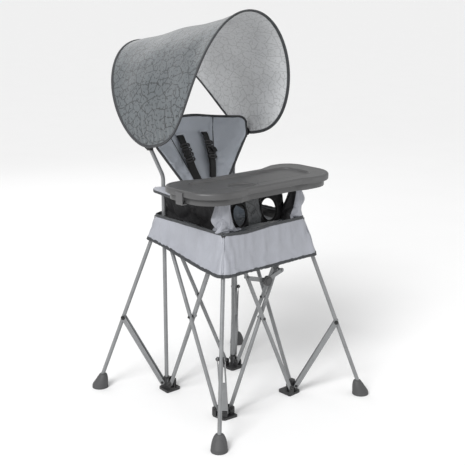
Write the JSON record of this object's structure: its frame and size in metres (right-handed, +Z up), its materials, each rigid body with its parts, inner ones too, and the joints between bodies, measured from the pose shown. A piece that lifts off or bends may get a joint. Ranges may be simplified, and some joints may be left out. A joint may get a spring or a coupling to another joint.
{
  "type": "folding baby high chair",
  "caption": "Portable folding baby high chair: splayed scissor frame, fabric bucket seat with harness, clip-on tray and arched sun canopy.",
  "frame": {"origin": "on the ground at the bottom centre of the whole object's box", "axes": "+Z up, the seated child faces -Y, +X is the child's left"},
  "size_m": [0.6772, 0.8052, 1.2606],
  "materials": {
    "tube_grey": "satin powder coat",
    "strut_grey": "satin powder coat",
    "bolt_black": "black satin",
    "hub_black": "moulded matte",
    "foot_grey": "moulded matte",
    "tray_grey": "fine moulded texture",
    "latch_grey": "fine moulded texture",
    "seat_cloth": "woven nylon",
    "webbing_black": "woven webbing",
    "canopy_cloth": "printed coated nylon",
    "binding": "folded tape"
  },
  "bodies": {
    "rear_right": {"hub_rear_right": "hub_black", "hub_bolts_rear_right": "bolt_black", "post_right": "tube_grey", "canopy_clip_right": "hub_black", "backrest": "seat_cloth", "harness": "webbing_black"},
    "rear_left": {"hub_rear_left": "hub_black", "hub_bolts_rear_left": "bolt_black", "post_left": "tube_grey", "canopy_clip_left": "hub_black"},
    "front_right": {"hub_front_right": "hub_black", "hub_bolts_front_right": "bolt_black"},
    "front_left": {"hub_front_left": "hub_black", "hub_bolts_front_left": "bolt_black"},
    "bracket_rear_right": {"bracket_rear_right": "hub_black", "skirt": "seat_cloth", "seat_bucket": "seat_cloth"},
    "bracket_rear_left": {"bracket_rear_left": "hub_black"},
    "bracket_front_right": {"bracket_front_right": "hub_black", "front_post_right": "tube_grey"},
    "bracket_front_left": {"bracket_front_left": "hub_black", "front_post_left": "tube_grey"},
    "lock_link_right": {"lock_link_right": "strut_grey"},
    "lock_link_left": {"lock_link_left": "strut_grey"},
    "lock_knob": {"lock_knob": "foot_grey"},
    "tray_carrier": {"tray_carrier": "tray_grey"},
    "tray": {"tray": "tray_grey"},
    "tray_latch_right": {"tray_latch_right": "latch_grey"},
    "tray_latch_left": {"tray_latch_left": "latch_grey"},
    "canopy": {"canopy_sheet": "canopy_cloth", "canopy_hoop": "binding"},
    "buckle_button": {"buckle_button": "hub_black"},
    "arm_rear_inner": {"arm_rear_inner": "tube_grey", "scissor_bolt_rear": "bolt_black"},
    "arm_rear_outer": {"arm_rear_outer": "tube_grey"},
    "arm_right_inner": {"arm_right_inner": "tube_grey", "scissor_bolt_right": "bolt_black"},
    "arm_right_outer": {"arm_right_outer": "tube_grey"},
    "arm_front_inner": {"arm_front_inner": "tube_grey", "scissor_bolt_front": "bolt_black"},
    "arm_front_outer": {"arm_front_outer": "tube_grey"},
    "arm_left_inner": {"arm_left_inner": "tube_grey", "scissor_bolt_left": "bolt_black"},
    "arm_left_outer": {"arm_left_outer": "tube_grey"},
    "leg_rear_right": {"leg_rear_right": "tube_grey", "leg_bolts_rear_right": "bolt_black", "foot_rear_right": "foot_grey"},
    "strut_rear_right": {"strut_rear_right": "strut_grey"},
    "leg_rear_left": {"leg_rear_left": "tube_grey", "leg_bolts_rear_left": "bolt_black", "foot_rear_left": "foot_grey"},
    "strut_rear_left": {"strut_rear_left": "strut_grey"},
    "leg_front_right": {"leg_front_right": "tube_grey", "leg_bolts_front_right": "bolt_black", "foot_front_right": "foot_grey"},
    "strut_front_right": {"strut_front_right": "strut_grey"},
    "leg_front_left": {"leg_front_left": "tube_grey", "leg_bolts_front_left": "bolt_black", "foot_front_left": "foot_grey"},
    "strut_front_left": {"strut_front_left": "strut_grey"}
  },
  "joints": [
    {"name": "frame_fold", "type": "hinge", "parent": "rear_right", "child": "arm_rear_inner", "pos_m": [-0.126, 0.086, 0.027], "axis": [0, -1, 0], "range_deg": [0, 19.75], "deforming": ["skirt", "seat_bucket", "backrest", "harness", "canopy_sheet", "canopy_hoop"]},
    {"name": "rear_scissor", "type": "hinge", "parent": "arm_rear_inner", "child": "arm_rear_outer", "pos_m": [0, 0.086, 0.301], "axis": [0, 1, 0], "range_deg": [0, 39.52]},
    {"name": "right_arm_turn", "type": "hinge", "parent": "rear_right", "child": "arm_right_inner", "pos_m": [-0.15, 0.062, 0.027], "axis": [-1, 0, 0], "range_deg": [0, 19.77]},
    {"name": "right_scissor", "type": "hinge", "parent": "arm_right_inner", "child": "arm_right_outer", "pos_m": [-0.15, -0.064, 0.301], "axis": [1, 0, 0], "range_deg": [0, 39.52]},
    {"name": "front_arm_turn", "type": "hinge", "parent": "front_right", "child": "arm_front_inner", "pos_m": [-0.126, -0.214, 0.027], "axis": [0, -1, 0], "range_deg": [0, 19.77]},
    {"name": "front_scissor", "type": "hinge", "parent": "arm_front_inner", "child": "arm_front_outer", "pos_m": [0, -0.214, 0.301], "axis": [0, 1, 0], "range_deg": [0, 39.52]},
    {"name": "left_arm_turn", "type": "hinge", "parent": "rear_left", "child": "arm_left_inner", "pos_m": [0.15, 0.062, 0.027], "axis": [-1, 0, 0], "range_deg": [0, 19.77]},
    {"name": "left_scissor", "type": "hinge", "parent": "arm_left_inner", "child": "arm_left_outer", "pos_m": [0.15, -0.064, 0.301], "axis": [1, 0, 0], "range_deg": [0, 39.52]},
    {"name": "rear_left_hub_turn", "type": "hinge", "parent": "arm_rear_outer", "child": "rear_left", "pos_m": [0.126, 0.1005, 0.027], "axis": [0, -1, 0], "range_deg": [0, 19.77]},
    {"name": "front_right_hub_turn", "type": "hinge", "parent": "arm_right_outer", "child": "front_right", "pos_m": [-0.1645, -0.19, 0.027], "axis": [-1, 0, 0], "range_deg": [0, 19.77]},
    {"name": "front_left_hub_turn", "type": "hinge", "parent": "arm_front_outer", "child": "front_left", "pos_m": [0.126, -0.2285, 0.027], "axis": [0, -1, 0], "range_deg": [0, 19.77]},
    {"name": "bracket_rear_right_turn", "type": "hinge", "parent": "arm_rear_outer", "child": "bracket_rear_right", "pos_m": [-0.126, 0.1005, 0.575], "axis": [0, -1, 0], "range_deg": [0, 19.77]},
    {"name": "bracket_rear_left_turn", "type": "hinge", "parent": "arm_rear_inner", "child": "bracket_rear_left", "pos_m": [0.126, 0.086, 0.575], "axis": [0, 1, 0], "range_deg": [0, 19.77]},
    {"name": "bracket_front_right_turn", "type": "hinge", "parent": "arm_right_inner", "child": "bracket_front_right", "pos_m": [-0.15, -0.19, 0.575], "axis": [1, 0, 0], "range_deg": [0, 19.77]},
    {"name": "bracket_front_left_turn", "type": "hinge", "parent": "arm_front_inner", "child": "bracket_front_left", "pos_m": [0.126, -0.214, 0.575], "axis": [0, 1, 0], "range_deg": [0, 19.77]},
    {"name": "leg_rear_right_turn", "type": "hinge", "parent": "bracket_rear_right", "child": "leg_rear_right", "pos_m": [-0.1632, 0.0992, 0.588], "axis": [-0.7071, -0.7071, 0], "range_deg": [0, 16.48]},
    {"name": "strut_rear_right_turn", "type": "hinge", "parent": "rear_right", "child": "strut_rear_right", "pos_m": [-0.16, 0.096, 0.026], "axis": [0.7071, 0.7071, 0], "range_deg": [0, 22.96]},
    {"name": "leg_rear_left_turn", "type": "hinge", "parent": "bracket_rear_left", "child": "leg_rear_left", "pos_m": [0.1632, 0.0992, 0.588], "axis": [-0.7071, 0.7071, 0], "range_deg": [0, 16.48]},
    {"name": "strut_rear_left_turn", "type": "hinge", "parent": "rear_left", "child": "strut_rear_left", "pos_m": [0.16, 0.096, 0.026], "axis": [0.7071, -0.7071, 0], "range_deg": [0, 22.96]},
    {"name": "leg_front_right_turn", "type": "hinge", "parent": "bracket_front_right", "child": "leg_front_right", "pos_m": [-0.1632, -0.2272, 0.588], "axis": [0.7071, -0.7071, 0], "range_deg": [0, 16.48]},
    {"name": "strut_front_right_turn", "type": "hinge", "parent": "front_right", "child": "strut_front_right", "pos_m": [-0.16, -0.224, 0.026], "axis": [-0.7071, 0.7071, 0], "range_deg": [0, 22.96]},
    {"name": "leg_front_left_turn", "type": "hinge", "parent": "bracket_front_left", "child": "leg_front_left", "pos_m": [0.1632, -0.2272, 0.588], "axis": [0.7071, 0.7071, 0], "range_deg": [0, 16.48]},
    {"name": "strut_front_left_turn", "type": "hinge", "parent": "front_left", "child": "strut_front_left", "pos_m": [0.16, -0.224, 0.026], "axis": [-0.7071, -0.7071, 0], "range_deg": [0, 22.96]},
    {"name": "lock_link_right_turn", "type": "hinge", "parent": "arm_front_outer", "child": "lock_link_right", "pos_m": [-0.06898, -0.2285, 0.451], "axis": [0, 1, 0], "range_deg": [0, 42.67]},
    {"name": "lock_link_left_turn", "type": "hinge", "parent": "arm_front_inner", "child": "lock_link_left", "pos_m": [0.06898, -0.214, 0.451], "axis": [0, -1, 0], "range_deg": [0, 42.67]},
    {"name": "lock_knob_turn", "type": "hinge", "parent": "lock_link_left", "child": "lock_knob", "pos_m": [0, -0.244, 0.431], "axis": [0, -1, 0], "range_deg": [0, 90]},
    {"name": "tray_carrier_follow", "type": "slide", "parent": "rear_right", "child": "tray_carrier", "axis": [-0.6004, 0.6004, 0.5283], "range_m": [0, 0.1671]},
    {"name": "tray_lift", "type": "slide", "parent": "tray_carrier", "child": "tray", "axis": [0, 0, 1], "range_m": [0, 0.08]},
    {"name": "tray_latch_right_turn", "type": "hinge", "parent": "tray", "child": "tray_latch_right", "pos_m": [-0.2822, -0.164, 0.741], "axis": [0, 1, 0], "range_deg": [0, 20]},
    {"name": "tray_latch_left_turn", "type": "hinge", "parent": "tray", "child": "tray_latch_left", "pos_m": [0.2822, -0.164, 0.741], "axis": [0, -1, 0], "range_deg": [0, 20]},
    {"name": "canopy_tilt", "type": "hinge", "parent": "rear_right", "child": "canopy", "pos_m": [0, 0.086, 0.843], "axis": [1, 0, 0], "range_deg": [-20, 30]},
    {"name": "buckle_press", "type": "slide", "parent": "rear_right", "child": "buckle_button", "axis": [0, 0.9005, -0.4349], "range_m": [0, 0.002], "stiffness_N_per_m": 150}
  ],
  "couplings": [
    {"joint": "rear_scissor", "follows": "frame_fold", "ratio": 2},
    {"joint": "right_arm_turn", "follows": "frame_fold", "ratio": 1},
    {"joint": "right_scissor", "follows": "frame_fold", "ratio": 2},
    {"joint": "front_arm_turn", "follows": "frame_fold", "ratio": 1},
    {"joint": "front_scissor", "follows": "frame_fold", "ratio": 2},
    {"joint": "left_arm_turn", "follows": "frame_fold", "ratio": 1},
    {"joint": "left_scissor", "follows": "frame_fold", "ratio": 2},
    {"joint": "rear_left_hub_turn", "follows": "frame_fold", "ratio": 1},
    {"joint": "front_right_hub_turn", "follows": "frame_fold", "ratio": 1},
    {"joint": "front_left_hub_turn", "follows": "frame_fold", "ratio": 1},
    {"joint": "bracket_rear_right_turn", "follows": "frame_fold", "ratio": 1},
    {"joint": "bracket_rear_left_turn", "follows": "frame_fold", "ratio": 1},
    {"joint": "bracket_front_right_turn", "follows": "frame_fold", "ratio": 1},
    {"joint": "bracket_front_left_turn", "follows": "frame_fold", "ratio": 1},
    {"joint": "leg_rear_right_turn", "follows": "frame_fold", "ratio": 0.8332},
    {"joint": "strut_rear_right_turn", "follows": "frame_fold", "ratio": 1.1617},
    {"joint": "leg_rear_left_turn", "follows": "frame_fold", "ratio": 0.8332},
    {"joint": "strut_rear_left_turn", "follows": "frame_fold", "ratio": 1.1617},
    {"joint": "leg_front_right_turn", "follows": "frame_fold", "ratio": 0.8332},
    {"joint": "strut_front_right_turn", "follows": "frame_fold", "ratio": 1.1617},
    {"joint": "leg_front_left_turn", "follows": "frame_fold", "ratio": 0.8332},
    {"joint": "strut_front_left_turn", "follows": "frame_fold", "ratio": 1.1617},
    {"joint": "lock_link_right_turn", "follows": "frame_fold", "ratio": 2.1595},
    {"joint": "lock_link_left_turn", "follows": "frame_fold", "ratio": 2.1595},
    {"joint": "tray_carrier_follow", "follows": "frame_fold", "m_per_rad": 0.48322}
  ]
}
